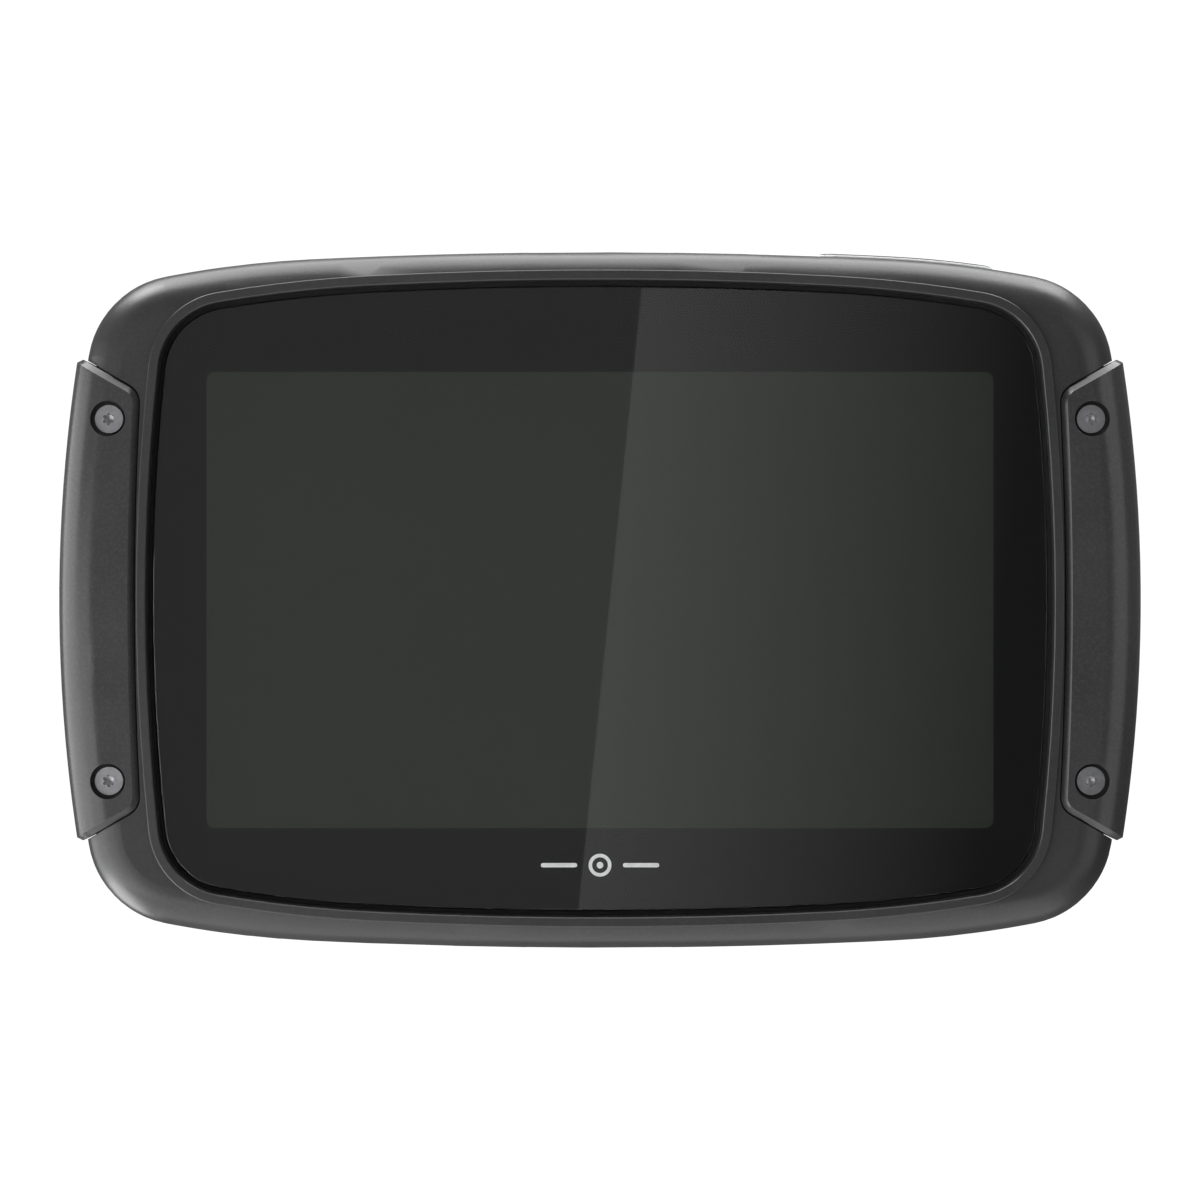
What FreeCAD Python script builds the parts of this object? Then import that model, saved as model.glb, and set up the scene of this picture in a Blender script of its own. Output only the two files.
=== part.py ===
"""Rugged handlebar navigator: a landscape touch-screen unit in a two-shell sealed housing with side grips.

Every piece is modelled face up, in millimetres: x to the right, y towards the top edge, z from the dock
face on the back (z = 0) towards the viewer. stand_up() then turns each sub-part upright, so that the dock
face looks along +Y, the screen along -Y and the top edge along +Z, with the origin at the dock face centre.
"""

import FreeCAD, Part

import math
import os
import re

import Sketcher

V = FreeCAD.Vector
UPRIGHT = FreeCAD.Placement(V(0, 0, 0), FreeCAD.Rotation(V(1, 0, 0), 90))
ON_AXIS_X, ON_AXIS_Y, ORIGIN = -1, -2, -1
START, END, CENTRE = 1, 2, 3
NEAR = 1e-4

SIZES = {
    # stations along the depth, from the dock face to the front of the grips
    "grip_front": 30.3,
    "ring_front": 30.3,
    "face_front": 29.7,
    "glass_front": 29.4,
    "glass_back": 27.8,
    "ledge": 27.6,
    "recess_floor": 27.2,
    "roof": 25.2,
    "parting": 19.0,
    "grip_back": 8.0,
    "inner_floor": 7.2,
    "back_face": 5.0,
    # outline of the housing seen from the front: four tangent arcs a quadrant
    "body_half_width": 67.7,
    "body_half_height": 44.4,
    "body_top_radius": 763.0,
    "body_shoulder_radius": 130.0,
    "body_corner_radius": 12.3,
    "body_side_radius": 200.0,
    "body_shoulder_start": 37.0,
    # outline of the raised ring round the screen
    "window_half_width": 57.52,
    "window_half_height": 40.4,
    "window_top_radius": 560.0,
    "window_shoulder_radius": 165.0,
    "window_corner_radius": 9.3,
    "window_side_radius": 273.0,
    "window_shoulder_start": 29.3,
    "window_lift": 0.2,
    # shell thicknesses, rounds and clearances
    "wall": 3.2,
    "draft_angle": 6.0,
    "front_round": 5.0,
    "back_round": 4.0,
    "core_round": 2.0,
    "cavity_round": 1.5,
    "rear_step": 0.2,
    "fit_gap": 0.1,
    "edge_break": 0.2,
    # ring and screen
    "ring_width": 1.1,
    "ring_bevel": 0.12,
    "ledge_width": 2.3,
    "glass_gap": 0.8,
    "glass_edge": 0.35,
    "tape_width": 1.8,
    "panel_width": 105.5,
    "panel_height": 67.2,
    "panel_depth": 2.9,
    "gasket_depth": 0.4,
    "view_width": 98.7,
    "view_height": 57.2,
    # side grips
    "grip_outset": 1.24,
    "grip_inset": 1.2,
    "grip_inner_x": 58.9,
    "grip_inner_radius": 480.0,
    "grip_corner_y": 26.3,
    "grip_far_x": 76.0,
    "grip_far_y": 36.35,
    "grip_corner_round": 2.5,
    "grip_bevel": 0.75,
    "grip_back_round": 1.2,
    # grip screws and their inserts
    "grip_screw_x": 62.15,
    "grip_screw_y": 22.9,
    "grip_head_radius": 1.88,
    "grip_head_depth": 1.0,
    "grip_bore_radius": 2.25,
    "grip_bore_floor": 27.9,
    "grip_screw_end": 24.6,
    "grip_thread_radius": 0.98,
    "grip_insert_radius": 1.6,
    "grip_insert_end": 23.6,
    "grip_insert_top": 26.6,
    "grip_boss_radius": 2.9,
    # every screw's head
    "head_bevel": 0.1,
    "cone_depth": 0.2,
    # housing screws and their inserts
    "corner_screw_x": 56.5,
    "corner_screw_y": 30.5,
    "top_screw_x": 17.0,
    "low_screw_x": 24.5,
    "edge_screw_y": 37.6,
    "case_head_radius": 2.0,
    "case_head_depth": 1.4,
    "case_bore_radius": 2.35,
    "case_bore_floor": 7.0,
    "case_screw_end": 22.6,
    "case_thread_radius": 1.2,
    "case_hole_radius": 1.4,
    "case_insert_radius": 2.0,
    "case_insert_end": 23.2,
    "case_boss_radius": 2.8,
    # perimeter seal
    "seal_outer_inset": 1.7,
    "seal_inner_inset": 2.7,
    "seal_depth": 1.2,
    # power button in the top edge
    "button_x": 39.2,
    "button_z": 22.0,
    "button_length": 22.4,
    "button_width": 4.0,
    "button_gap": 0.15,
    "button_proud": 0.5,
    "button_round": 0.4,
    "button_seat_y": 38.2,
    "button_travel": 0.4,
    "membrane_depth": 0.6,
    "switch_top_y": 34.9,
    "board_mid_z": 20.8,
    # service door in the bottom edge
    "door_half_length": 16.8,
    "door_front_z": 17.0,
    "door_inner_y": 41.9,
    "door_gap": 0.15,
    "hinge_y": 42.1,
    "hinge_z": 9.9,
    "barrel_radius": 1.1,
    "pin_radius": 0.5,
    "port_low_z": 12.1,
    "port_high_z": 16.0,
    "port_half_length": 13.5,
    # dock boss on the back
    "dock_width": 58.0,
    "dock_height": 50.0,
    "dock_corner": 9.0,
    "dock_round": 1.2,
    "locator_x": 21.0,
    "contact_y": -10.0,
    "locator_radius": 2.0,
    "locator_depth": 3.5,
    "contact_pitch": 4.6,
    "contact_radius": 1.1,
    # boards and battery
    "board_width": 104.0,
    "board_height": 68.0,
    "board_back": 20.2,
    "board_front": 21.4,
    "chassis_back": 23.3,
    "battery_width": 64.0,
    "battery_height": 42.0,
    "battery_depth": 6.5,
    "battery_back": 8.4,
}

doc = FreeCAD.newDocument("navigator")
sheet = doc.addObject("Spreadsheet::Sheet", "Sizes")
for row, (alias, value) in enumerate(SIZES.items(), 1):
    sheet.set(f"A{row}", alias)
    sheet.set(f"B{row}", str(value))
    sheet.setAlias(f"B{row}", alias)
doc.recompute()

sub_parts = []


def size(name):
    """A driving dimension, read from the sheet."""
    return float(sheet.get(name))


def cells(text):
    """Turns the aliases in an expression into references to the sheet."""
    return re.sub(r"\b([a-z]+_[a-z_]+|wall|ledge|roof|parting)\b", r"Sizes.\1", str(text))


def bind(item, **expressions):
    """Binds properties to the sheet; a double underscore in a keyword stands for a dot."""
    for name, text in expressions.items():
        item.setExpression(name.replace("__", "."), cells(text))


def sub_part(label, item):
    """Names a finished piece and stands it upright."""
    if item.TypeId in ("Part::Box", "Part::Cylinder"):
        item.Label = f"{label}_blank"
        group = doc.addObject("Part::Compound", f"{label}_piece")
        group.Links = [item]
        item = group
    doc.recompute()
    item.Label = label
    item.Placement = UPRIGHT.multiply(item.Placement)
    sub_parts.append(item)
    return item


# ---------------------------------------------------------------- solids


def box(name, low, high):
    """A block between two corners, each given as three expressions."""
    item = doc.addObject("Part::Box", name)
    spans = [f"({h}) - ({l})" for l, h in zip(low, high)]
    bind(item, Length=spans[0], Width=spans[1], Height=spans[2])
    bind(item, Placement__Base__x=low[0], Placement__Base__y=low[1], Placement__Base__z=low[2])
    return item


def rod(name, centre, radius, back, front):
    """A cylinder along z between two stations."""
    item = doc.addObject("Part::Cylinder", name)
    bind(item, Radius=radius, Height=f"({front}) - ({back})")
    bind(item, Placement__Base__x=centre[0], Placement__Base__y=centre[1], Placement__Base__z=back)
    return item


def cone(name, radii, back, front):
    """A cone or part of one on the z axis, with a radius at each of two stations."""
    item = doc.addObject("Part::Cone", name)
    bind(item, Radius1=radii[0], Radius2=radii[1], Height=f"({front}) - ({back})", Placement__Base__z=back)
    return item


def bar(name, y, z, radius, half_length):
    """A cylinder along x, centred on x = 0."""
    item = doc.addObject("Part::Cylinder", name)
    item.Placement = FreeCAD.Placement(V(0, 0, 0), FreeCAD.Rotation(V(0, 1, 0), 90))
    bind(item, Radius=radius, Height=f"2 * ({half_length})")
    bind(item, Placement__Base__x=f"-({half_length})", Placement__Base__y=y, Placement__Base__z=z)
    return item


def fuse(name, *items):
    """One solid from several."""
    item = doc.addObject("Part::MultiFuse", name)
    item.Shapes = list(items)
    return item


def cut(name, base, *tools):
    """A solid less one or more tools."""
    for index, tool in enumerate(tools):
        item = doc.addObject("Part::Cut", f"{name}_{index}" if index < len(tools) - 1 else name)
        item.Base, item.Tool = base, tool
        base = item
    return base


def common(name, first, second):
    """What two solids share."""
    item = doc.addObject("Part::MultiCommon", name)
    item.Shapes = [first, second]
    return item


def shared_edges(item, first, second):
    """The edges of a piece that lie on the surfaces of two solids, with their numbers."""
    doc.recompute()
    skins = [solid.Shape.Shells[0] for solid in (first, second)]
    found = []
    for index, edge in enumerate(item.Shape.Edges, 1):
        low, high = edge.ParameterRange
        spots = [Part.Vertex(edge.valueAt(low + (high - low) * t)) for t in (0.1, 0.5, 0.9)]
        if all(spot.distToShape(skin)[0] < 1e-3 for spot in spots for skin in skins):
            found.append((index, edge))
    return found


def mirrored(name, item):
    """The same piece on the other side of the x = 0 plane."""
    twin = doc.addObject("Part::Mirroring", name)
    twin.Source = item
    twin.Base, twin.Normal = V(0, 0, 0), V(1, 0, 0)
    return twin


def copies(name, master, spots):
    """One piece at several places, as a group of separate solids."""
    doc.recompute()
    item = doc.addObject("Part::Feature", name)
    item.Shape = Part.makeCompound([master.Shape.translated(V(*spot)) for spot in spots])
    return item


# ---------------------------------------------------------------- sketches


def origin_plane(body, role):
    return [f for f in body.Origin.OriginFeatures if f.Role == role][0]


def new_sketch(body, name, role, station):
    """A sketch parallel to an origin plane, at an expression's distance along the plane's normal."""
    sketch = body.newObject("Sketcher::SketchObject", name)
    sketch.AttachmentSupport = [(origin_plane(body, role), "")]
    sketch.MapMode = "FlatFace"
    bind(sketch, AttachmentOffset__Base__z=station)
    return sketch


def outline_centres(kind):
    """Centres and radii of the first quadrant's arcs, side to top, and the x where the top arc ends."""
    radii = [size(f"{kind}_{arc}_radius") for arc in ("side", "corner", "shoulder", "top")]
    side, corner, shoulder, top = radii
    start = size(f"{kind}_shoulder_start")
    side_centre = V(size(f"{kind}_half_width") - side, 0, 0)
    top_centre = V(0, size(f"{kind}_half_height") - top, 0)
    towards = V(start, math.sqrt(top**2 - start**2), 0).normalize()
    shoulder_centre = top_centre + towards * (top - shoulder)
    across = side_centre - shoulder_centre
    near, far = shoulder - corner, side - corner
    along = (across.Length**2 + near**2 - far**2) / (2 * across.Length)
    aside = math.sqrt(near**2 - along**2)
    unit = V(across).normalize()
    corner_centre = shoulder_centre + unit * along + V(unit.y, -unit.x, 0) * aside
    return [side_centre, corner_centre, shoulder_centre, top_centre], radii, start


def outline(sketch, kind, offset):
    """Draws a housing or window outline, offset outwards, as twelve tangent arcs with every size bound."""
    if kind == "window":
        bind(sketch, AttachmentOffset__Base__y="window_lift")
    doc.recompute()
    centres, radii, start = outline_centres(kind)
    grow = sketch.evalExpression(cells(offset)) if isinstance(offset, str) else offset
    grow = float(getattr(grow, "Value", grow))
    side_to_corner = (centres[1] - centres[0]).normalize()
    corner_to_shoulder = (centres[1] - centres[2]).normalize()
    shoulder_to_top = (centres[2] - centres[3]).normalize()
    turns = [
        math.atan2(d.y, d.x) for d in (side_to_corner, corner_to_shoulder, shoulder_to_top)
    ]
    spans = [(-turns[0], turns[0], 0)]
    spans += [(turns[0], turns[1], 1), (turns[1], turns[2], 2)]
    spans += [(turns[2], math.pi - turns[2], 3)]
    for arc in (2, 1):
        spans.append((math.pi - turns[arc], math.pi - turns[arc - 1], arc))
    spans.append((math.pi - turns[0], math.pi + turns[0], 0))
    for low, high, arc in spans[1:6]:
        spans.append((low + math.pi, high + math.pi, arc))
    places = [(1, 1)] * 4 + [(-1, 1)] * 3 + [(-1, -1)] * 2 + [(1, -1)] * 3
    for (low, high, arc), (sx, sy) in zip(spans, places):
        middle = V(centres[arc].x * sx, centres[arc].y * sy, 0)
        circle = Part.Circle(middle, V(0, 0, 1), radii[arc] + grow)
        sketch.addGeometry(Part.ArcOfCircle(circle, low, high), False)
    rules = [Sketcher.Constraint("Tangent", i, END, (i + 1) % 12, START) for i in range(12)]
    twins = {0: [6], 1: [5, 7, 11], 2: [4, 8, 10], 3: [9]}
    rules += [Sketcher.Constraint("Equal", i, j) for i, others in twins.items() for j in others]
    rules += [Sketcher.Constraint("PointOnObject", i, CENTRE, ON_AXIS_X) for i in (0, 6)]
    rules += [Sketcher.Constraint("PointOnObject", i, CENTRE, ON_AXIS_Y) for i in (3, 9)]
    sketch.addConstraint(rules)
    named = []
    for arc, label in enumerate(("side", "corner", "shoulder", "top")):
        rule = Sketcher.Constraint("Radius", arc, radii[arc] + grow)
        named.append((rule, f"{kind}_{label}_radius + ({offset})"))
    reach = size(f"{kind}_side_radius") - size(f"{kind}_half_width")
    drop = size(f"{kind}_top_radius") - size(f"{kind}_half_height")
    side_reach = f"{kind}_side_radius - {kind}_half_width"
    top_drop = f"{kind}_top_radius - {kind}_half_height"
    named.append((Sketcher.Constraint("DistanceX", 0, CENTRE, ORIGIN, START, reach), side_reach))
    named.append((Sketcher.Constraint("DistanceX", ORIGIN, START, 6, CENTRE, reach), side_reach))
    named.append((Sketcher.Constraint("DistanceY", 3, CENTRE, ORIGIN, START, drop), top_drop))
    named.append((Sketcher.Constraint("DistanceY", ORIGIN, START, 9, CENTRE, drop), top_drop))
    scaled = start * (radii[3] + grow) / radii[3]
    text = f"{kind}_shoulder_start * (1 + ({offset}) / {kind}_top_radius)"
    for arc, point, sign in ((3, START, 1), (3, END, -1), (9, START, -1), (9, END, 1)):
        ends = (ORIGIN, START, arc, point) if sign > 0 else (arc, point, ORIGIN, START)
        named.append((Sketcher.Constraint("DistanceX", *ends, scaled), text))
    add_named(sketch, named)


def add_named(sketch, named):
    """Adds dimensional constraints and binds each to its expression."""
    for rule, text in named:
        index = sketch.addConstraint(rule)
        sketch.setExpression(f"Constraints[{index}]", cells(text))


def rounded_rectangle(sketch, width, height, radius, across="0", up="0"):
    """Draws a rectangle with round corners, centred on the sketch, and shifts the sketch."""
    doc.recompute()
    w, h, r = (float(sketch.evalExpression(cells(t))) for t in (width, height, radius))
    x, y = w / 2, h / 2
    corners = [(x - r, y - r, 0), (r - x, y - r, 90), (r - x, r - y, 180), (x - r, r - y, 270)]
    walls = [((x - r, y), (r - x, y)), ((-x, y - r), (-x, r - y)), ((r - x, -y), (x - r, -y))]
    walls.append(((x, r - y), (x, y - r)))
    for (cx, cy, degrees), (start, end) in zip(corners, walls):
        low = math.radians(degrees)
        circle = Part.Circle(V(cx, cy, 0), V(0, 0, 1), r)
        sketch.addGeometry(Part.ArcOfCircle(circle, low, low + math.pi / 2), False)
        sketch.addGeometry(Part.LineSegment(V(*start, 0), V(*end, 0)), False)
    rules = [Sketcher.Constraint("Tangent", i, END, (i + 1) % 8, START) for i in range(8)]
    rules += [Sketcher.Constraint("Equal", 0, i) for i in (2, 4, 6)]
    rules += [Sketcher.Constraint("Horizontal", i) for i in (1, 5)]
    rules += [Sketcher.Constraint("Vertical", i) for i in (3, 7)]
    rules.append(Sketcher.Constraint("Symmetric", 0, CENTRE, 4, CENTRE, ORIGIN, START))
    sketch.addConstraint(rules)
    named = [(Sketcher.Constraint("Radius", 0, r), radius)]
    for first, way, extent, side in ((2, "DistanceX", w, width), (6, "DistanceY", h, height)):
        rule = Sketcher.Constraint(way, first, CENTRE, 0, CENTRE, extent - 2 * r)
        named.append((rule, f"({side}) - 2 * ({radius})"))
    add_named(sketch, named)
    bind(sketch, AttachmentOffset__Base__x=across, AttachmentOffset__Base__y=up)


def pad(body, name, sketch, length, away=False, taper=None):
    """Pads a sketch along its normal, or away from it."""
    item = body.newObject("PartDesign::Pad", name)
    item.Profile = sketch
    item.Reversed = away
    bind(item, Length=length)
    if taper:
        bind(item, TaperAngle=taper)
    sketch.Visibility = False
    return item


def edges_at(item, station):
    """Names of a solid's edges that lie flat at one z."""
    doc.recompute()
    found = []
    for index, edge in enumerate(item.Shape.Edges, 1):
        if all(abs(v.Z - station) < NEAR for v in edge.Vertexes):
            found.append(f"Edge{index}")
    return found


def rounded(body, name, base, station, radius):
    """Rounds a body's edges at one z."""
    item = body.newObject("PartDesign::Fillet", name)
    item.Base = (base, edges_at(base, station))
    bind(item, Radius=radius)
    return item


def outline_slab(name, kind, offset, back, front):
    """A plain slab of an outline between two stations."""
    body = doc.addObject("PartDesign::Body", name)
    sketch = new_sketch(body, f"{name}_outline", "XY_Plane", back)
    outline(sketch, kind, offset)
    pad(body, f"{name}_pad", sketch, f"({front}) - ({back})")
    return body


def rounded_slab(name, width, height, radius, back, front, across="0", up="0"):
    """A slab with round corners between two stations."""
    body = doc.addObject("PartDesign::Body", name)
    sketch = new_sketch(body, f"{name}_outline", "XY_Plane", back)
    rounded_rectangle(sketch, width, height, radius, across, up)
    pad(body, f"{name}_pad", sketch, f"({front}) - ({back})")
    return body


def edge_plug(name, width, height, radius, x, z, start, length):
    """A plug with round corners that runs towards -y from y = start, centred on x and z."""
    body = doc.addObject("PartDesign::Body", name)
    sketch = new_sketch(body, f"{name}_outline", "XZ_Plane", f"-({start})")
    rounded_rectangle(sketch, width, height, radius, x, z)
    pad(body, f"{name}_pad", sketch, length)
    return body


def pillow(name, offset, front, back, front_round, back_round):
    """The housing's form, offset: straight sides to the front, drafted sides to the back, rounded rims."""
    body = doc.addObject("PartDesign::Body", name)
    sketch = new_sketch(body, f"{name}_outline", "XY_Plane", "parting")
    outline(sketch, "body", offset)
    pad(body, f"{name}_front", sketch, f"({front}) - parting")
    base = pad(body, f"{name}_back", sketch, f"parting - ({back})", True, "-draft_angle")
    stations = [float(sheet.evalExpression(cells(t).replace("Sizes.", ""))) for t in (front, back)]
    base = rounded(body, f"{name}_front_rim", base, stations[0], front_round)
    rounded(body, f"{name}_back_rim", base, stations[1], back_round)
    return body


# ---------------------------------------------------------------- housing forms

housing_form = pillow("housing_form", "0", "face_front", "back_face", "front_round", "back_round")
rear_form = pillow("rear_form", "-rear_step", "face_front", "back_face", "front_round", "back_round")
grip_form = pillow("grip_form", "grip_outset", "grip_front", "grip_back", "front_round", "grip_back_round")
core = pillow("core", "-grip_inset", "recess_floor", "back_face - 1", "core_round", "core_round")
grip_core = pillow(
    "grip_core", "fit_gap - grip_inset", "recess_floor + fit_gap", "back_face - 1", "core_round", "core_round"
)
cavity = pillow("cavity", "-wall", "roof", "inner_floor", "cavity_round", "cavity_round")
front_half = box("front_half", ("-90", "-60", "parting"), ("90", "60", "40"))
rear_half = box("rear_half", ("-90", "-60", "-1"), ("90", "60", "parting"))


def grip_prism(name, outset, back):
    """A prism of the right grip's outline, grown by a clearance: an arc beside the ring and two slants."""
    body = doc.addObject("PartDesign::Body", name)
    sketch = new_sketch(body, f"{name}_outline", "XY_Plane", back)
    doc.recompute()
    grow = float(sketch.evalExpression(cells(outset)))
    radius, corner_y = size("grip_inner_radius") - grow, size("grip_corner_y") + grow
    reach = size("grip_inner_radius") - size("grip_inner_x")
    far_x, far_y = size("grip_far_x"), size("grip_far_y") + grow
    turn = math.asin(corner_y / radius)
    corner_x = radius * math.cos(turn) - reach
    circle = Part.Circle(V(-reach, 0, 0), V(0, 0, 1), radius)
    sketch.addGeometry(Part.ArcOfCircle(circle, -turn, turn), False)
    points = [V(corner_x, corner_y, 0), V(far_x, far_y, 0), V(far_x, -far_y, 0), V(corner_x, -corner_y, 0)]
    for first, second in zip(points, points[1:]):
        sketch.addGeometry(Part.LineSegment(first, second), False)
    rules = [
        Sketcher.Constraint("Coincident", 0, END, 1, START),
        Sketcher.Constraint("Coincident", 1, END, 2, START),
        Sketcher.Constraint("Coincident", 2, END, 3, START),
        Sketcher.Constraint("Coincident", 3, END, 0, START),
        Sketcher.Constraint("PointOnObject", 0, CENTRE, ON_AXIS_X),
        Sketcher.Constraint("Vertical", 2),
    ]
    sketch.addConstraint(rules)
    grown_corner, grown_far = f"grip_corner_y + ({outset})", f"grip_far_y + ({outset})"
    arc_reach = "grip_inner_radius - grip_inner_x"
    named = [
        (Sketcher.Constraint("Radius", 0, radius), f"grip_inner_radius - ({outset})"),
        (Sketcher.Constraint("DistanceX", 0, CENTRE, ORIGIN, START, reach), arc_reach),
        (Sketcher.Constraint("DistanceX", ORIGIN, START, 2, START, far_x), "grip_far_x"),
        (Sketcher.Constraint("DistanceY", ORIGIN, START, 0, END, corner_y), grown_corner),
        (Sketcher.Constraint("DistanceY", 0, START, ORIGIN, START, corner_y), grown_corner),
        (Sketcher.Constraint("DistanceY", ORIGIN, START, 1, END, far_y), grown_far),
        (Sketcher.Constraint("DistanceY", 3, START, ORIGIN, START, far_y), grown_far),
    ]
    add_named(sketch, named)
    base = pad(body, f"{name}_pad", sketch, f"grip_front + 2 - ({back})")
    doc.recompute()
    corners = []
    for index, edge in enumerate(base.Shape.Edges, 1):
        upright = len(edge.Vertexes) == 2 and abs(edge.Vertexes[0].X - edge.Vertexes[1].X) < NEAR
        if upright and edge.Vertexes[0].X < size("grip_inner_x") and edge.Length < 40:
            corners.append(f"Edge{index}")
    item = body.newObject("PartDesign::Fillet", f"{name}_corners")
    item.Base = (base, corners)
    bind(item, Radius=f"grip_corner_round + ({outset})")
    return body


grip_tool = grip_prism("grip_tool", "0", "grip_back - 1")
recess_prism = grip_prism("recess_prism", "1.5 * fit_gap", "grip_back - fit_gap")
right_recess = cut("right_recess", recess_prism, core)
left_recess = mirrored("left_recess", right_recess)


def four_ways(x, y):
    """The four places at plus and minus two expressions."""
    return [(f"{sx}({x})", f"{sy}({y})") for sx in ("", "-") for sy in ("", "-")]


case_screw_spots = four_ways("corner_screw_x", "corner_screw_y")
case_screw_spots += [(f"{s}top_screw_x", "edge_screw_y") for s in ("", "-")]
case_screw_spots += [(f"{s}low_screw_x", "-edge_screw_y") for s in ("", "-")]
grip_screw_spots = four_ways("grip_screw_x", "grip_screw_y")
chassis_screw_spots = four_ways("57", "12")
board_screw_spots = four_ways("47.5", "29.5")


def rods(name, spots, radius, back, front):
    """Rods of one size at several places, fused."""
    items = [rod(f"{name}_{i}", spot, radius, back, front) for i, spot in enumerate(spots, 1)]
    return fuse(name, *items)


def placed(spots, z="0"):
    """The numbers behind a list of expression pairs."""
    for_sheet = [[cells(t).replace("Sizes.", "") for t in spot] for spot in spots]
    return [[float(sheet.evalExpression(t)) for t in spot] + [float(z)] for spot in for_sheet]


# ---------------------------------------------------------------- front housing


def front_housing():
    shell = common("front_blank", housing_form, front_half)
    ring = doc.addObject("PartDesign::Body", "ring")
    sketch = new_sketch(ring, "ring_outline", "XY_Plane", "face_front - 1")
    outline(sketch, "window", "ring_width")
    base = pad(ring, "ring_pad", sketch, "ring_front - face_front + 1")
    rounded(ring, "ring_edge", base, size("ring_front"), "edge_break")
    opening = outline_slab("opening", "window", "-ring_bevel", "ledge", "ring_front + 1")
    bevel = doc.addObject("PartDesign::Body", "bevel")
    sketch = new_sketch(bevel, "bevel_outline", "XY_Plane", "ring_front - ring_bevel")
    outline(sketch, "window", "-ring_bevel")
    pad(bevel, "bevel_pad", sketch, "2 * ring_bevel", False, "45")
    throat = outline_slab("throat", "window", "-ring_bevel - ledge_width", "roof - 1", "ledge + 1")
    room = rounded_slab("panel_room", "panel_width + 0.5", "panel_height + 0.5", "1", "roof - 1", "ledge + 1")
    hollow = fuse("front_hollow", opening, bevel, throat, room, cavity)
    shell = cut("front_shell", fuse("ringed_blank", shell, ring), hollow)
    case_bosses = rods("case_bosses", case_screw_spots, "case_boss_radius", "parting", "roof + 0.5")
    grip_bosses = rods("grip_bosses", grip_screw_spots, "grip_boss_radius", "parting", "roof + 0.5")
    stop_back = "glass_back - gasket_depth - panel_depth"
    stops = rods("chassis_stops", chassis_screw_spots, "2.4", stop_back, "roof + 0.5")
    seat = box("button_seat", ("26", "button_seat_y", "parting"), ("51.5", "40.5", "roof + 0.5"))
    bosses = common("trimmed_bosses", fuse("all_bosses", case_bosses, grip_bosses, stops, seat), core)
    shell = fuse("bossed_front", shell, bosses)
    holes = [
        rods("case_insert_holes", case_screw_spots, "case_insert_radius", "parting - 1", "case_insert_end"),
        rods("grip_insert_holes", grip_screw_spots, "grip_insert_radius", "grip_insert_end", "ledge + 3"),
        rods("chassis_holes", chassis_screw_spots, "0.8", "roof - 2", "ledge - 1"),
        edge_plug(
            "button_slot",
            "button_length + 2 * button_gap",
            "button_width + 2 * button_gap",
            "button_width / 2 + button_gap - 0.05",
            "button_x",
            "button_z",
            "50",
            "50 - button_seat_y + 1",
        ),
    ]
    return sub_part("front_housing", cut("front_housing", shell, right_recess, left_recess, *holes))


# ---------------------------------------------------------------- rear housing


def dock_boss():
    """The raised plate that a cradle holds: drafted sides, a rounded rim."""
    body = doc.addObject("PartDesign::Body", "dock_boss")
    sketch = new_sketch(body, "dock_outline", "XY_Plane", "back_face + 1")
    rounded_rectangle(sketch, "dock_width", "dock_height", "dock_corner")
    base = pad(body, "dock_pad", sketch, "back_face + 1", True, "-3")
    rounded(body, "dock_rim", base, 0.0, "dock_round")
    return body


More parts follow.
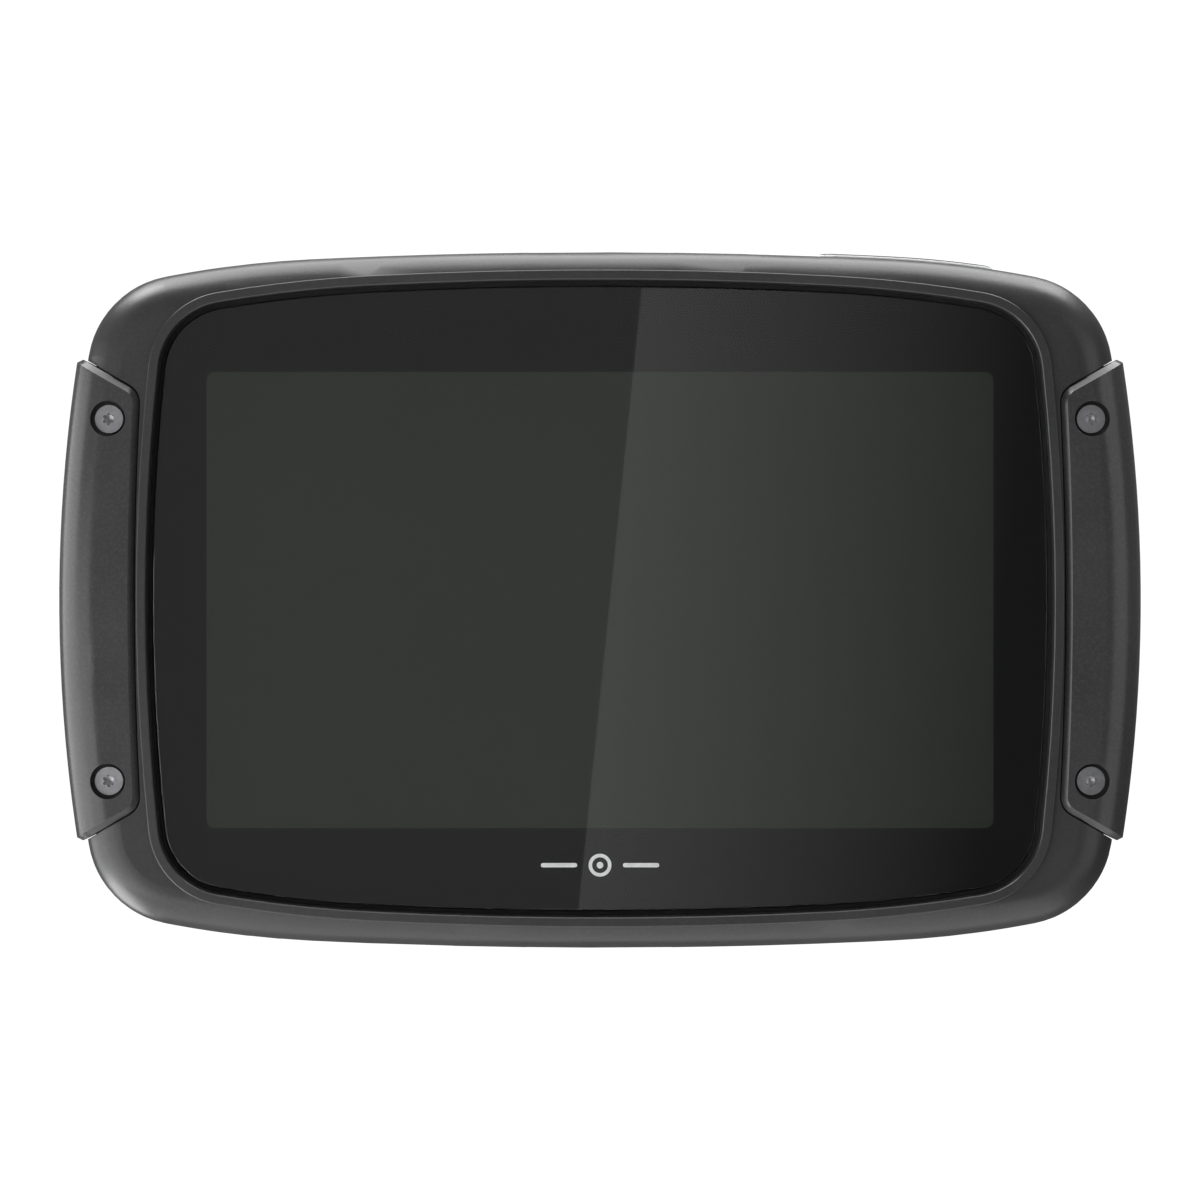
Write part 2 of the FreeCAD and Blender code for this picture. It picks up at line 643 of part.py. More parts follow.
def rear_housing():
    shell = fuse("rear_blank", common("rear_half_form", rear_form, rear_half), dock_boss())
    bosses = [
        rods("rear_bosses", case_screw_spots, "case_boss_radius", "inner_floor - 0.5", "parting"),
        rods("port_posts", [("12.5", "-28"), ("-12.5", "-28")], "2.2", "inner_floor - 0.5", "15.5"),
    ]
    groove = cut(
        "groove",
        outline_slab("groove_outer", "body", "-seal_outer_inset", "parting - seal_depth", "parting + 1"),
        outline_slab("groove_inner", "body", "-seal_inner_inset", "parting - seal_depth - 1", "parting + 2"),
    )
    hinge_seat = box(
        "hinge_seat",
        ("-door_half_length - 2.4", "-42.5", "inner_floor - 0.5"),
        ("door_half_length + 2.4", "-39.6", "hinge_z + 1.6"),
    )
    shell = cut("hollow_rear", shell, cavity)
    shell = fuse("bossed_rear", shell, *bosses, hinge_seat)
    door_pocket = fuse(
        "door_pocket",
        edge_plug(
            "door_mouth",
            "2 * door_half_length + 0.4",
            "door_front_z + door_gap - (hinge_z - barrel_radius - 0.3)",
            "0.9",
            "0",
            "(door_front_z + door_gap + hinge_z - barrel_radius - 0.3) / 2",
            "-door_inner_y + door_gap",
            "6",
        ),
        bar("barrel_seat", "-hinge_y", "hinge_z", "barrel_radius + door_gap", "door_half_length + 0.2"),
    )
    port = edge_plug(
        "port_opening",
        "2 * port_half_length",
        "port_high_z - port_low_z",
        "0.8",
        "0",
        "(port_high_z + port_low_z) / 2",
        "-39",
        "4",
    )
    pin_holes = bar("pin_holes", "-hinge_y", "hinge_z", "pin_radius", "door_half_length + 1.6")
    heads = rods("case_head_bores", case_screw_spots, "case_bore_radius", "-1", "case_bore_floor")
    shanks = rods("case_shank_holes", case_screw_spots, "case_hole_radius", "1", "parting + 1")
    posts = rods("port_post_holes", [("12.5", "-28"), ("-12.5", "-28")], "0.8", "9.5", "16")
    dock_hollow = rounded_slab("dock_hollow", "33", "36", "2", "2.2", "inner_floor + 0.5", "0", "-2")
    contact_recess = rounded_slab("contact_recess", "30", "9", "4.4", "-1", "0.8", "0", "contact_y")
    contact_slot = rounded_slab("contact_slot", "26", "6", "2.9", "0.5", "3", "0", "contact_y")
    locators = rods(
        "locator_bores",
        [("locator_x", "contact_y"), ("-locator_x", "contact_y")],
        "locator_radius",
        "-1",
        "locator_depth",
    )
    latch = box("latch_notch", ("-9", "dock_height / 2 - 1.9", "1.8"), ("9", "dock_height / 2 + 2", "3.9"))
    hooks = []
    for side, x in (("left", "-18"), ("right", "10")):
        high = (f"{x} + 8", "1.9 - dock_height / 2", "4.1")
        hooks.append(box(f"hook_notch_{side}", (x, "-dock_height / 2 - 2", "1.6"), high))
    label_recess = rounded_slab("label_recess", "18.4", "30.4", "1.7", "4", "5.16", "-42", "0")
    shell = cut("rear_body", shell, right_recess, left_recess, groove, heads, shanks)
    shell = cut("rear_doored", shell, door_pocket, port, pin_holes)
    shell = cut("rear_docked", shell, posts, dock_hollow, contact_recess, contact_slot, locators)
    shell = cut("rear_latched", shell, latch, *hooks)
    return sub_part("rear_housing", cut("rear_housing", shell, label_recess))


# ---------------------------------------------------------------- side grips


def bevelled(name, item, prism, form):
    """Bevels the rim that a grip's outline leaves on its outer surface."""
    back = size("grip_back") + NEAR
    rim = [index for index, edge in shared_edges(item, prism, form) if edge.CenterOfMass.z > back]
    bevel = doc.addObject("Part::Chamfer", name)
    bevel.Base = item
    bevel.Edges = [(index, size("grip_bevel"), size("grip_bevel")) for index in rim]
    return bevel


def grips():
    blank = cut("grip_blank", common("grip_outer", grip_form, grip_tool), grip_core)
    blank = bevelled("grip_bevelled", blank, grip_tool, grip_form)
    spots = [("grip_screw_x", "grip_screw_y"), ("grip_screw_x", "-grip_screw_y")]
    bores = rods("grip_head_bores", spots, "grip_bore_radius", "grip_bore_floor", "grip_front + 1")
    shanks = rods("grip_shank_holes", spots, "grip_thread_radius + 0.12", "recess_floor - 1", "grip_front")
    right = cut("grip_piece", blank, bores, shanks)
    sub_part("left_grip", mirrored("left_grip", right))
    twin = doc.addObject("Part::Feature", "right_grip_piece")
    twin.Shape = right.Shape
    sub_part("right_grip", twin)


# ---------------------------------------------------------------- fasteners


def star_recess(name, reach, back, front, tip):
    """A six-lobed driver recess on the z axis, with a cone in its floor on the side of the tip."""
    core = f"0.72 * ({reach})"
    lobes = [rod(f"{name}_core", ("0", "0"), core, back, front)]
    if tip == "back":
        lobes.append(cone(f"{name}_floor", ("0", core), f"{back} - cone_depth", back))
    else:
        lobes.append(cone(f"{name}_floor", (core, "0"), front, f"{front} + cone_depth"))
    for index in range(6):
        across = f"0.74 * ({reach}) * cos({60 * index + 30})"
        up = f"0.74 * ({reach}) * sin({60 * index + 30})"
        lobes.append(rod(f"{name}_lobe_{index}", (across, up), f"0.26 * ({reach})", back, front))
    return fuse(name, *lobes)


def screw(name, shank, shank_ends, head, head_ends, reach, depth, face):
    """A flat-headed screw on the z axis with a bevelled rim and a six-lobed recess in its face."""
    low, high = head_ends
    slim = f"{head} - head_bevel"
    if face == "front":
        rim = cone(f"{name}_rim", (head, slim), f"{high} - head_bevel", high)
        flat = rod(f"{name}_head", ("0", "0"), head, low, f"{high} - head_bevel")
        recess = star_recess(f"{name}_recess", reach, f"{high} - {depth}", f"{high} + 1", "back")
    else:
        rim = cone(f"{name}_rim", (slim, head), low, f"{low} + head_bevel")
        flat = rod(f"{name}_head", ("0", "0"), head, f"{low} + head_bevel", high)
        recess = star_recess(f"{name}_recess", reach, f"{low} - 1", f"{low} + {depth}", "front")
    blank = fuse(f"{name}_blank", rod(f"{name}_shank", ("0", "0"), shank, *shank_ends), flat, rim)
    return cut(name, blank, recess)


def sleeve(name, outer, inner, back, front):
    """A round insert on the z axis with a through hole."""
    solid = rod(f"{name}_solid", ("0", "0"), outer, back, front)
    return cut(name, solid, rod(f"{name}_hole", ("0", "0"), inner, f"{back} - 1", f"{front} + 1"))


def fasteners():
    grip_shank = ("grip_screw_end", "grip_bore_floor")
    grip_head = ("grip_bore_floor", "grip_bore_floor + grip_head_depth")
    grip_screw = screw(
        "grip_screw", "grip_thread_radius", grip_shank, "grip_head_radius", grip_head, "0.8", "0.7", "front"
    )
    grip_insert = sleeve(
        "grip_insert", "grip_insert_radius", "grip_thread_radius + 0.02", "grip_insert_end", "grip_insert_top"
    )
    case_shank = ("case_bore_floor", "case_screw_end")
    case_head = ("case_bore_floor - case_head_depth", "case_bore_floor")
    case_screw = screw(
        "case_screw", "case_thread_radius", case_shank, "case_head_radius", case_head, "0.9", "0.9", "back"
    )
    case_insert = sleeve(
        "case_insert", "case_insert_radius", "case_thread_radius + 0.02", "parting", "case_insert_end"
    )
    stop = "glass_back - gasket_depth - panel_depth"
    chassis_shank, chassis_head = ("chassis_back", f"{stop} + 1.9"), ("chassis_back - 0.9", "chassis_back")
    chassis_screw = screw("chassis_screw", "0.8", chassis_shank, "1.6", chassis_head, "0.6", "0.5", "back")
    board_shank, board_head = ("board_back", "chassis_back + 0.9"), ("board_back - 0.9", "board_back")
    board_screw = screw("board_screw", "0.8", board_shank, "1.6", board_head, "0.6", "0.5", "back")
    port_screw = screw("port_screw", "0.8", ("11", "16.3"), "1.5", ("16.3", "17.2"), "0.6", "0.5", "front")
    sub_part("grip_screws", copies("grip_screws", grip_screw, placed(grip_screw_spots)))
    sub_part("grip_inserts", copies("grip_inserts", grip_insert, placed(grip_screw_spots)))
    sub_part("housing_screws", copies("housing_screws", case_screw, placed(case_screw_spots)))
    sub_part("housing_inserts", copies("housing_inserts", case_insert, placed(case_screw_spots)))
    sub_part("chassis_screws", copies("chassis_screws", chassis_screw, placed(chassis_screw_spots)))
    sub_part("board_screws", copies("board_screws", board_screw, placed(board_screw_spots)))
    sub_part("port_board_screws", copies("port_board_screws", port_screw, [(12.5, -28, 0), (-12.5, -28, 0)]))


# ---------------------------------------------------------------- screen


def screen():
    glass = doc.addObject("PartDesign::Body", "cover_glass")
    sketch = new_sketch(glass, "glass_outline", "XY_Plane", "glass_back")
    outline(sketch, "window", "-glass_gap")
    base = pad(glass, "glass_pad", sketch, "glass_front - glass_back")
    rounded(glass, "glass_rim", base, size("glass_front"), "glass_edge")
    sub_part("cover_glass", glass)
    tape = cut(
        "tape",
        outline_slab("tape_outer", "window", "-ring_bevel - 0.05", "ledge", "glass_back"),
        outline_slab("tape_inner", "window", "-ring_bevel - tape_width", "ledge - 1", "glass_back + 1"),
    )
    sub_part("glass_tape", tape)
    panel_front = "glass_back - gasket_depth"
    panel_back = f"{panel_front} - panel_depth"
    view_room = ("view_width + 0.6", "view_height + 0.6")
    cell_size = ("panel_width - 3.2", "panel_height - 3.2")
    gasket = cut(
        "gasket",
        rounded_slab("gasket_outer", "panel_width - 2", "panel_height - 2", "1", panel_front, "glass_back"),
        rounded_slab("gasket_inner", *view_room, "1", f"{panel_front} - 1", "glass_back + 1"),
    )
    sub_part("display_gasket", gasket)
    tray = cut(
        "tray",
        rounded_slab("tray_outer", "panel_width", "panel_height", "0.8", panel_back, panel_front),
        rounded_slab(
            "tray_inner", "panel_width - 3", "panel_height - 3", "0.6", f"{panel_back} + 0.4", "glass_back"
        ),
    )
    sub_part("backlight_tray", tray)
    cell = rounded_slab("panel_cell", *cell_size, "0.5", f"{panel_back} + 1.4", panel_front)
    sub_part("display_panel", cell)
    guide = rounded_slab("guide", *cell_size, "0.5", f"{panel_back} + 0.4", f"{panel_back} + 1.4")
    sub_part("backlight_guide", guide)


def ribbon(name, x, width, points, depth):
    """A flat flex cable: a bent strip of even depth through (y, z) points, extruded along x."""
    outward = []
    for index, (y, z) in enumerate(points):
        before = points[max(index - 1, 0)]
        after = points[min(index + 1, len(points) - 1)]
        run_in = V(y - before[0], z - before[1], 0)
        run_out = V(after[0] - y, after[1] - z, 0)
        normals = [V(-r.y, r.x, 0).normalize() for r in (run_in, run_out) if r.Length > NEAR]
        middle = (normals[0] + normals[-1]).normalize()
        outward.append(middle * (depth / max(middle.dot(normals[0]), 0.3)))
    there = [V(x - width / 2, y, z) for y, z in points]
    back = [V(x - width / 2, y + o.x, z + o.y) for (y, z), o in zip(points, outward)]
    wire = Part.makePolygon(there + back[::-1] + there[:1])
    item = doc.addObject("Part::Feature", name)
    item.Shape = Part.Face(wire).extrude(V(width, 0, 0))
    return item


def electronics():
    chassis_front = "glass_back - gasket_depth - panel_depth"
    plate = rounded_slab("chassis_plate", "106", "68.4", "2", f"{chassis_front} - 0.8", chassis_front)
    ears = [
        box(f"ear_{i}", (x, f"{y} - 3", f"{chassis_front} - 0.8"), (f"{x} + 8.4", f"{y} + 3", chassis_front))
        for i, (x, y) in enumerate([("51.6", "12"), ("51.6", "-12"), ("-60", "12"), ("-60", "-12")])
    ]
    posts = rods("board_posts", board_screw_spots, "2.4", "board_front", f"{chassis_front} - 0.4")
    stands = rods("ear_pads", chassis_screw_spots, "2.4", "chassis_back", f"{chassis_front} - 0.4")
    chassis = fuse("chassis_blank", plate, *ears, posts, stands)
    holes = rods("chassis_clearance", chassis_screw_spots, "0.9", "chassis_back - 1", "roof")
    taps = rods("board_taps", board_screw_spots, "0.82", "board_front - 1", "chassis_back + 1")
    sub_part("chassis", cut("chassis", chassis, holes, taps))

    board = rounded_slab("board_plate", "board_width", "board_height", "2", "board_back", "board_front")
    notch = box("switch_notch", ("35.8", "31.3", "10"), ("42.2", "40", "30"))
    board_holes = rods("board_holes", board_screw_spots, "0.95", "board_back - 1", "board_front + 1")
    sub_part("main_board", cut("main_board", board, notch, board_holes))
    behind = [
        ("processor_shield", 14, 2, 32, 26, 2.0),
        ("radio_shield", 34, -20, 20, 16, 1.8),
        ("gps_antenna", -32, 18, 25, 25, 4.0),
        ("display_connector", -8, -28.2, 22, 4, 1.2),
        ("touch_connector", -44, -12, 4, 9, 1.2),
        ("battery_connector", -30, -20, 8, 5, 2.4),
    ]
    for name, x, y, width, height, depth in behind:
        low = (f"{x - width / 2}", f"{y - height / 2}", f"board_back - {depth}")
        high = (f"{x + width / 2}", f"{y + height / 2}", "board_back")
        sub_part(name, box(name, low, high))
    board_back = size("board_back")
    chassis_back = size("glass_back") - size("gasket_depth") - size("panel_depth") - 0.8
    display_route = [(-33.7, chassis_back + 2.0), (-35.6, chassis_back + 2.0), (-35.6, board_back - 0.8)]
    sub_part("display_flex", ribbon("display_flex", -8, 20, display_route + [(-30.3, board_back - 0.8)], 0.2))

    battery_low = ("-46", "-20", "battery_back")
    battery_high = ("battery_width - 46", "battery_height - 20", "battery_back + battery_depth")
    sub_part("battery", box("battery", battery_low, battery_high))
    pad_low = ("-44", "-18", "inner_floor + 0.8")
    sub_part("battery_pad", box("battery_pad", pad_low, ("battery_width - 48", "20", "battery_back")))
    bracket = rounded_slab("bracket_plate", "70", "48", "3", "inner_floor", "inner_floor + 0.8", "-14", "1")
    sub_part("battery_bracket", bracket)


# ---------------------------------------------------------------- power button


def power_button():
    plug = edge_plug(
        "button_plug",
        "button_length",
        "button_width",
        "button_width / 2 - 0.05",
        "button_x",
        "button_z",
        "50",
        "50 - button_seat_y",
    )
    form = outline_slab("button_form", "body", "button_proud", "parting - 2", "roof + 1")
    blank = common("button_blank", plug, form)
    button = doc.addObject("Part::Fillet", "power_button")
    button.Base = blank
    radius = size("button_round")
    button.Edges = [(index, radius, radius) for index, _ in shared_edges(blank, plug, form)]
    sub_part("power_button", button)
    membrane_low = "button_seat_y - membrane_depth"
    sheet_low, sheet_high = ("26.6", membrane_low, "parting + 0.2"), ("51", "button_seat_y", "roof - 0.7")
    sheet_plate = box("membrane_plate", sheet_low, sheet_high)
    bump = box(
        "membrane_bump",
        ("button_x - 1.5", "switch_top_y + 1.25", "board_mid_z - 0.9"),
        ("button_x + 1.5", f"{membrane_low} + 0.1", "board_mid_z + 0.9"),
    )
    sub_part("button_membrane", fuse("button_membrane", sheet_plate, bump))
    retainer = box(
        "retainer_plate",
        ("26.6", f"{membrane_low} - 0.8", "parting + 0.2"),
        ("51", membrane_low, "roof - 0.7"),
    )
    window = box("retainer_window", ("32", "30", "board_mid_z - 1.3"), ("46", "45", "board_mid_z + 1.5"))
    sub_part("button_retainer", cut("button_retainer", retainer, window))
    switch_high = ("42", "switch_top_y", "board_mid_z + 1.6")
    switch = box("switch_block", ("36", "31.5", "board_mid_z - 1.6"), switch_high)
    well_low = ("37.95", "switch_top_y - 1.5", "board_mid_z - 0.65")
    well = box("switch_well", well_low, ("40.05", "40", "board_mid_z + 0.65"))
    sub_part("power_switch", cut("power_switch", switch, well))
    plunger = box(
        "switch_plunger",
        ("38", "switch_top_y - 1", "board_mid_z - 0.6"),
        ("40", "switch_top_y + 1.25", "board_mid_z + 0.6"),
    )
    sub_part("switch_plunger", plunger)


# ---------------------------------------------------------------- service door and ports


def service_door():
    plate = edge_plug(
        "door_plate",
        "2 * door_half_length",
        "door_front_z - hinge_z + barrel_radius",
        "0.75",
        "0",
        "(door_front_z + hinge_z - barrel_radius) / 2",
        "-door_inner_y",
        "6",
    )
    skin = common("door_skin", rear_form, plate)
    heel = box(
        "door_heel",
        ("-door_half_length - 1", "-50", "hinge_z - barrel_radius - 1"),
        ("door_half_length + 1", "-40", "hinge_z"),
    )
    barrel = bar("door_barrel", "-hinge_y", "hinge_z", "barrel_radius", "door_half_length")
    lift = box("door_lip", ("-4", "-44.35", "door_front_z - 0.9"), ("4", "-42.5", "door_front_z - 0.2"))
    door = fuse("door_blank", cut("door_flap", skin, heel), barrel, lift)
    bore = bar("door_bore", "-hinge_y", "hinge_z", "pin_radius + 0.05", "door_half_length + 1")
    sub_part("port_door", cut("port_door", door, bore))
    plug_middle = "(port_high_z + port_low_z) / 2 - 0.03"
    seal = cut(
        "seal_blank",
        edge_plug("seal_outer", "26.4", "3.3", "0.7", "0", plug_middle, "0.9 - door_inner_y", "0.9"),
        edge_plug("seal_inner", "24.6", "1.5", "0.3", "0", plug_middle, "2 - door_inner_y", "4"),
    )
    sub_part("door_seal", seal)
    sub_part("hinge_pin", bar("hinge_pin", "-hinge_y", "hinge_z", "pin_radius", "door_half_length + 1.5"))
    board = box("port_board_plate", ("-15.5", "-39.8", "15.5"), ("15.5", "-25", "16.3"))
    board_holes = rods("port_board_holes", [("12.5", "-28"), ("-12.5", "-28")], "0.9", "15", "17")
    sub_part("port_board", cut("port_board_piece", board, board_holes))
    usb = box("usb_body", ("3.2", "-40.2", "12.6"), ("10.8", "-34.6", "15.5"))
    usb_mouth = box("usb_mouth", ("3.6", "-41", "13"), ("10.4", "-35", "15.1"))
    tongue = box("usb_tongue", ("5", "-39.6", "14.2"), ("9", "-34.9", "14.7"))
    sub_part("usb_connector", fuse("usb_connector", cut("usb_shell", usb, usb_mouth), tongue))
    socket = box("socket_body", ("-12", "-40.2", "13.7"), ("0.6", "-30.5", "15.5"))
    slot = box("socket_slot", ("-11.3", "-41", "14.1"), ("-0.1", "-31.2", "14.9"))
    sub_part("card_socket", cut("card_socket", socket, slot))


# ---------------------------------------------------------------- dock contacts, seal and label


def dock_and_seals():
    offsets = [index * size("contact_pitch") for index in (-2, -1, 0, 1, 2)]
    spots = [(x, size("contact_y"), 0) for x in offsets]
    contact = rod("contact", ("0", "0"), "contact_radius", "0.65", "3.6")
    contacts = copies("dock_contacts", contact, spots)
    sub_part("dock_contacts", contacts)
    insert = rounded_slab("insert_plate", "25.8", "5.8", "2.8", "0.8", "2.2", "0", "contact_y")
    flange = rounded_slab("insert_flange", "29", "9", "2", "2.2", "3.2", "0", "contact_y")
    bores = doc.addObject("Part::Feature", "contact_bores")
    bores.Shape = contacts.Shape.copy()
    bores.Placement = FreeCAD.Placement()
    sub_part("contact_insert", cut("contact_insert", fuse("insert_blank", insert, flange), bores))
    sub_part("dock_board", rounded_slab("dock_board", "31", "12", "1.5", "3.6", "4.4", "0", "contact_y"))
    seal_low = "parting - seal_depth"
    seal = cut(
        "housing_seal",
        outline_slab("seal_ring", "body", "-seal_outer_inset - 0.03", seal_low, "parting"),
        outline_slab("seal_bore", "body", "-seal_inner_inset + 0.03", f"{seal_low} - 1", "parting + 1"),
    )
    sub_part("housing_seal", seal)
    sub_part("rating_label", rounded_slab("rating_label", "18", "30", "1.5", "5.04", "5.16", "-42", "0"))


def check():
    """Stops on any object that failed to compute and any sub-part that isn't sound."""
    doc.recompute()
    failed = [o.Name for o in doc.Objects if {"Invalid", "Error"} & set(o.State)]
    if failed:
        raise RuntimeError(f"these objects failed: {failed}")
    for item in sub_parts:
        shape = item.Shape
        if shape.isNull() or not shape.isValid() or not shape.Solids:
            raise RuntimeError(f"{item.Label} is not a sound solid")


def write():
    os.makedirs("parts", exist_ok=True)
    for item in sub_parts:
        item.Shape.exportStep(f"parts/{item.Label}.step")
        print(f"{item.Label}: {len(item.Shape.Solids)} solid(s), {item.Shape.Volume:.1f} mm3")


front_housing()
rear_housing()
grips()
fasteners()
screen()
electronics()
power_button()
service_door()
dock_and_seals()
check()
write()
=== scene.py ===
"""Looks for the rugged handlebar navigator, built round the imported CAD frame. Everything is in metres."""

import math

import bmesh
import bpy
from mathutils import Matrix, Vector


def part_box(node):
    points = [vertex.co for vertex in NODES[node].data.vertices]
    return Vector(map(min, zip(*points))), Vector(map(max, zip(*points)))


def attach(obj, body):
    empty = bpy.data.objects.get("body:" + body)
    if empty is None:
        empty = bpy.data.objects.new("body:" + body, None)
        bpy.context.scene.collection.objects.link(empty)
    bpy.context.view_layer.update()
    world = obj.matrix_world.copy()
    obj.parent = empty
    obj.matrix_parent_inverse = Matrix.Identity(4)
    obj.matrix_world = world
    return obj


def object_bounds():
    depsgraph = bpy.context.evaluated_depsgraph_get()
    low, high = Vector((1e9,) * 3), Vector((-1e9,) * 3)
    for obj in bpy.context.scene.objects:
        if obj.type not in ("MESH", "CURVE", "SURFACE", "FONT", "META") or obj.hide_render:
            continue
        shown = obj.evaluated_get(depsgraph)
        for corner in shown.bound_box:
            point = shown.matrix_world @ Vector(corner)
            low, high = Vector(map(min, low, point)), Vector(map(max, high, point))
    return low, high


MM = 0.001

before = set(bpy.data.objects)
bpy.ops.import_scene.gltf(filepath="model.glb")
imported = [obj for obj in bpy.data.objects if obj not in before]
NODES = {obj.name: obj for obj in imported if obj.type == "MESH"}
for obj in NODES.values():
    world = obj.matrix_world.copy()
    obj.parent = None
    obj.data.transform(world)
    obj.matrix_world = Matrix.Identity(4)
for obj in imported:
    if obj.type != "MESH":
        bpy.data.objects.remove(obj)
CAD_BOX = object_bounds()

# ---------------------------------------------------------------- materials


def srgb(*levels):
    """Linear RGBA of display levels from 0 to 255; one level gives a grey."""
    if len(levels) == 1:
        levels = levels * 3
    out = []
    for level in levels:
        c = level / 255
        out.append(c / 12.92 if c <= 0.04045 else ((c + 0.055) / 1.055) ** 2.4)
    return (*out, 1.0)


class Look:
    """A node material with one Principled shader, and short ways to add to it."""

    def __init__(self, name):
        self.material = bpy.data.materials.new(name)
        self.material.use_nodes = True
        self.tree = self.material.node_tree
        self.tree.nodes.clear()
        self.shader = self.node("ShaderNodeBsdfPrincipled")
        self.out = self.node("ShaderNodeOutputMaterial")
        self.join(self.shader.outputs["BSDF"], self.out.inputs["Surface"])
        self.place = self.node("ShaderNodeTexCoord").outputs["Object"]

    def node(self, kind, **settings):
        item = self.tree.nodes.new(kind)
        for key, value in settings.items():
            setattr(item, key, value)
        return item

    def join(self, source, target):
        self.tree.links.new(source, target)

    def put(self, **values):
        for key, value in values.items():
            self.shader.inputs[key.replace("_", " ")].default_value = value
        return self

    def mapped(self, setting, value):
        """Object coordinates with a Scale or a Rotation put on them."""
        mapping = self.node("ShaderNodeMapping")
        mapping.inputs[setting].default_value = value
        self.join(self.place, mapping.inputs["Vector"])
        return mapping.outputs["Vector"]

    def noise(self, scale, detail=3.0, roughness=0.5, stretch=(1, 1, 1)):
        """Noise with that many cells to a metre."""
        item = self.node("ShaderNodeTexNoise")
        item.inputs["Scale"].default_value = scale
        item.inputs["Detail"].default_value = detail
        item.inputs["Roughness"].default_value = roughness
        self.join(self.mapped("Scale", stretch), item.inputs["Vector"])
        return item.outputs["Fac"]

    def cells(self, scale):
        """Soft round cells, that many to a metre."""
        item = self.node("ShaderNodeTexVoronoi", feature="SMOOTH_F1")
        item.inputs["Scale"].default_value = scale
        self.join(self.place, item.inputs["Vector"])
        return item.outputs["Distance"]

    def part(self, source, axis):
        """One of the three numbers of a vector."""
        item = self.node("ShaderNodeSeparateXYZ")
        self.join(source, item.inputs["Vector"])
        return item.outputs[axis]

    def ramp(self, source, low, high, start=0.0, end=1.0):
        """A plain number that goes from low to high while source goes from start to end."""
        item = self.node("ShaderNodeMapRange")
        for key, value in zip(("From Min", "From Max", "To Min", "To Max"), (start, end, low, high)):
            item.inputs[key].default_value = value
        self.join(source, item.inputs["Value"])
        return item.outputs["Result"]

    def maths(self, operation, first, second):
        item = self.node("ShaderNodeMath", operation=operation)
        for socket, value in zip(item.inputs, (first, second)):
            if isinstance(value, (int, float)):
                socket.default_value = value
            else:
                self.join(value, socket)
        return item.outputs["Value"]

    def blend(self, share, first, second):
        """A colour between two, each a colour or a socket."""
        item = self.node("ShaderNodeMix", data_type="RGBA")
        if isinstance(share, (int, float)):
            item.inputs["Factor"].default_value = share
        else:
            self.join(share, item.inputs["Factor"])
        for socket, value in zip((item.inputs[6], item.inputs[7]), (first, second)):
            if isinstance(value, tuple):
                socket.default_value = value
            else:
                self.join(value, socket)
        return item.outputs[2]

    def mottled(self, cloud, first, second, most=1.0):
        """A colour that wanders from the first to the second with a noise."""
        return self.blend(self.ramp(cloud, 0.0, most, 0.35, 0.7), first, second)

    def cloudy(self, cloud, low, high):
        """A plain number that wanders from low to high with a noise."""
        return self.ramp(cloud, low, high, 0.3, 0.7)

    def edges(self, radius, start, end):
        """From 0 on flat faces to 1 on worn edges: how far a bevelled normal turns from the true one."""
        bevel = self.node("ShaderNodeBevel", samples=6)
        bevel.inputs["Radius"].default_value = radius
        flat = self.node("ShaderNodeNewGeometry")
        dot = self.node("ShaderNodeVectorMath", operation="DOT_PRODUCT")
        self.join(bevel.outputs["Normal"], dot.inputs[0])
        self.join(flat.outputs["Normal"], dot.inputs[1])
        turned = self.maths("SUBTRACT", 1.0, dot.outputs["Value"])
        return self.ramp(turned, 0.0, 1.0, start, end)

    def bump(self, height, distance, strength):
        item = self.node("ShaderNodeBump")
        item.inputs["Distance"].default_value = distance
        item.inputs["Strength"].default_value = strength
        self.join(height, item.inputs["Height"])
        self.join(item.outputs["Normal"], self.shader.inputs["Normal"])

    def colour(self, socket):
        self.join(socket, self.shader.inputs["Base Color"])

    def rough(self, socket):
        self.join(socket, self.shader.inputs["Roughness"])


def moulded(name, level, warm, rough_low, rough_high, grain=2600, depth=0.012):
    """Moulded plastic: a fine spark-eroded grain, cloudy gloss, faint dust and lighter worn edges."""

    def tone(gain, lift):
        return srgb(*[level * gain + lift + w for w in warm])

    look = Look(name).put(Specular_IOR_Level=0.5, IOR=1.49)
    cloud = look.noise(55, 4.0, 0.6)
    grit = look.noise(grain, 2.0, 0.55)
    tint = look.mottled(cloud, tone(1.0, 0), tone(1.18, 3), 0.75)
    dust = look.ramp(grit, 0.0, 0.35, 0.45, 0.75)
    tint = look.blend(dust, tint, tone(1.5, 5))
    scuffs = look.ramp(look.noise(420, 4.0, 0.65), 0.0, 1.0, 0.42, 0.7)
    worn = look.maths("MULTIPLY", look.edges(0.35 * MM, 0.03, 0.35), scuffs)
    look.colour(look.blend(look.maths("MULTIPLY", worn, 0.5), tint, tone(2.0, 14)))
    gloss = look.cloudy(cloud, rough_low, rough_high)
    look.rough(look.maths("SUBTRACT", gloss, look.maths("MULTIPLY", worn, 0.08)))
    pits = look.maths("MULTIPLY", look.cells(grain * 0.8), 0.6)
    pits = look.maths("ADD", pits, look.maths("MULTIPLY", grit, 0.5))
    look.bump(pits, depth * MM, 0.5)
    return look.material


def capped_painted_highlight(name):
    """A button with a dark grained cap on its upward faces over a near-white skirt. The skirt's pale colour
    is a painted highlight: the bright strip of light along the top edge, painted onto the sides.
    """
    look = Look(name).put(Specular_IOR_Level=0.15, IOR=1.49)
    upward = look.part(look.node("ShaderNodeTexCoord").outputs["Normal"], "Z")
    # The dark cap colour goes only on faces that point up. The sides get the painted highlight.
    cap = look.ramp(upward, 0.0, 1.0, 0.6, 0.68)
    cloud = look.noise(300)
    # Painted highlight: a near-white colour on the button's sides stands in for the bright strip of light
    # along the top edge.
    painted_highlight = look.mottled(cloud, srgb(236, 237, 238), srgb(244, 245, 246))
    dark = look.mottled(cloud, srgb(17), srgb(22, 22, 23))
    look.colour(look.blend(cap, painted_highlight, dark))
    look.rough(look.cloudy(cloud, 0.6, 0.7))
    look.bump(look.noise(2600, 2.0, 0.55), 0.008 * MM, 0.4)
    return look.material


